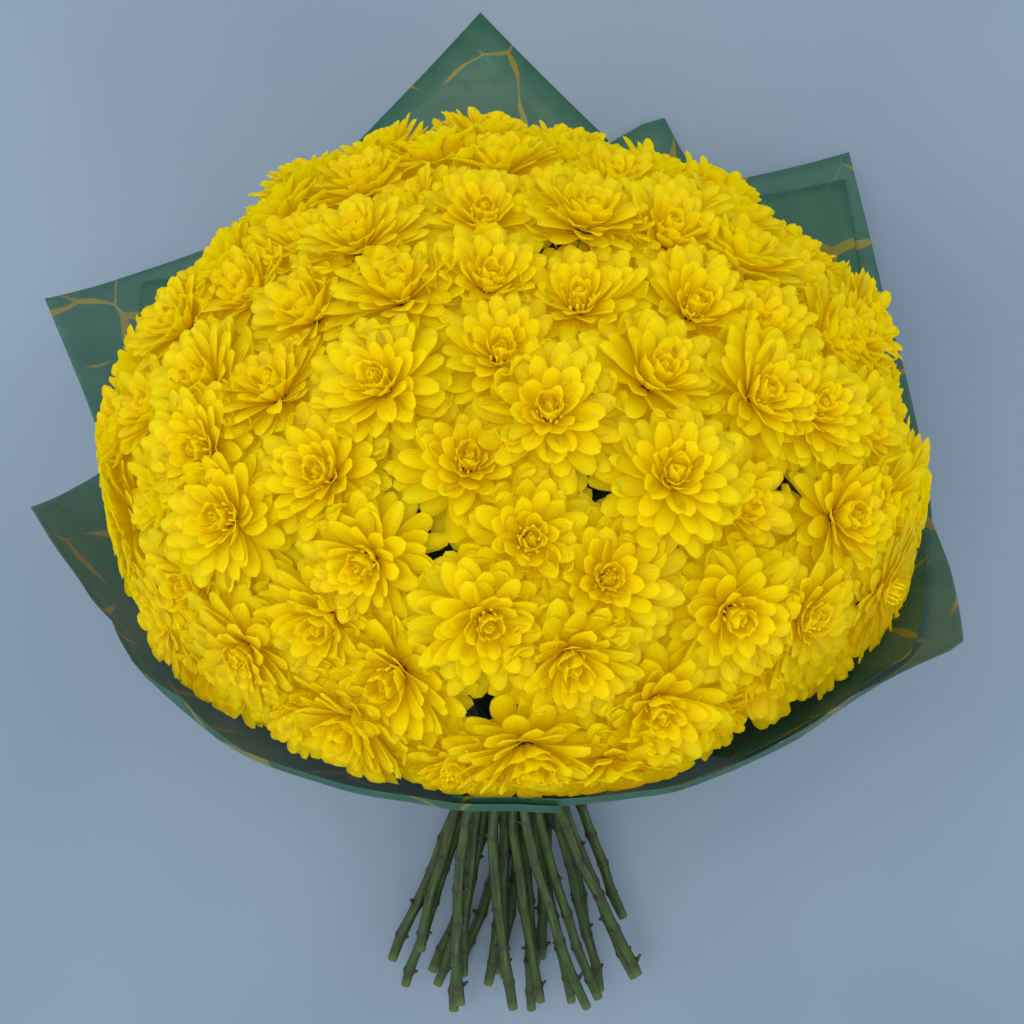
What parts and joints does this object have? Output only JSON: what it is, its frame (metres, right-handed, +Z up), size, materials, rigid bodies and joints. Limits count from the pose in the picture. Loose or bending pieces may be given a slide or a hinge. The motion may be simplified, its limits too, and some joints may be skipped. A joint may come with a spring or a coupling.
{
  "type": "wrapped chrysanthemum bouquet",
  "caption": "Hand-tied bouquet of yellow spray chrysanthemums with bare cut stems, gathered in translucent wrapping film and lying on its back.",
  "frame": {"origin": "on the table, under the middle of the bouquet's bounding box", "axes": "+Z up from the table, +Y from the cut stems towards the dome of blooms, +X to the right seen from above with the stems towards the viewer"},
  "size_m": [0.4902, 0.6338, 0.4015],
  "materials": {
    "petals": "matte yellow petals, golden towards the centre of each bloom",
    "stem": "dull dark green stems with swollen joints",
    "film": "translucent grey-green film with gold crackle veins",
    "twine": "twisted natural twine",
    "ribbon": "dark green woven band"
  },
  "bodies": {
    "root": {"stem_01": "stem", "stem_02": "stem", "stem_03": "stem", "stem_04": "stem", "stem_05": "stem", "stem_06": "stem", "stem_07": "stem", "stem_08": "stem", "stem_09": "stem", "stem_10": "stem", "stem_11": "stem", "stem_12": "stem", "stem_13": "stem", "stem_14": "stem", "stem_15": "stem", "stem_16": "stem", "stem_17": "stem", "stem_18": "stem", "stem_19": "stem", "stem_20": "stem", "stem_21": "stem", "stem_22": "stem", "stem_23": "stem", "stem_24": "stem", "stem_25": "stem", "spray_01": "petals", "spray_02": "petals", "spray_03": "petals", "spray_04": "petals", "spray_05": "petals", "spray_06": "petals", "spray_07": "petals", "spray_08": "petals", "spray_09": "petals", "spray_10": "petals", "spray_11": "petals", "spray_12": "petals", "spray_13": "petals", "spray_14": "petals", "spray_15": "petals", "spray_16": "petals", "spray_17": "petals", "spray_18": "petals", "spray_19": "petals", "spray_20": "petals", "spray_21": "petals", "spray_22": "petals", "spray_23": "petals", "spray_24": "petals", "spray_25": "petals", "wrap_inner_sheet": "film", "wrap_outer_sheet": "film", "wrap_front_sheet": "film", "wrap_side_sheet": "film", "wrap_back_sheet": "film", "stem_tie": "twine", "wrap_tie": "ribbon"}
  },
  "joints": []
}
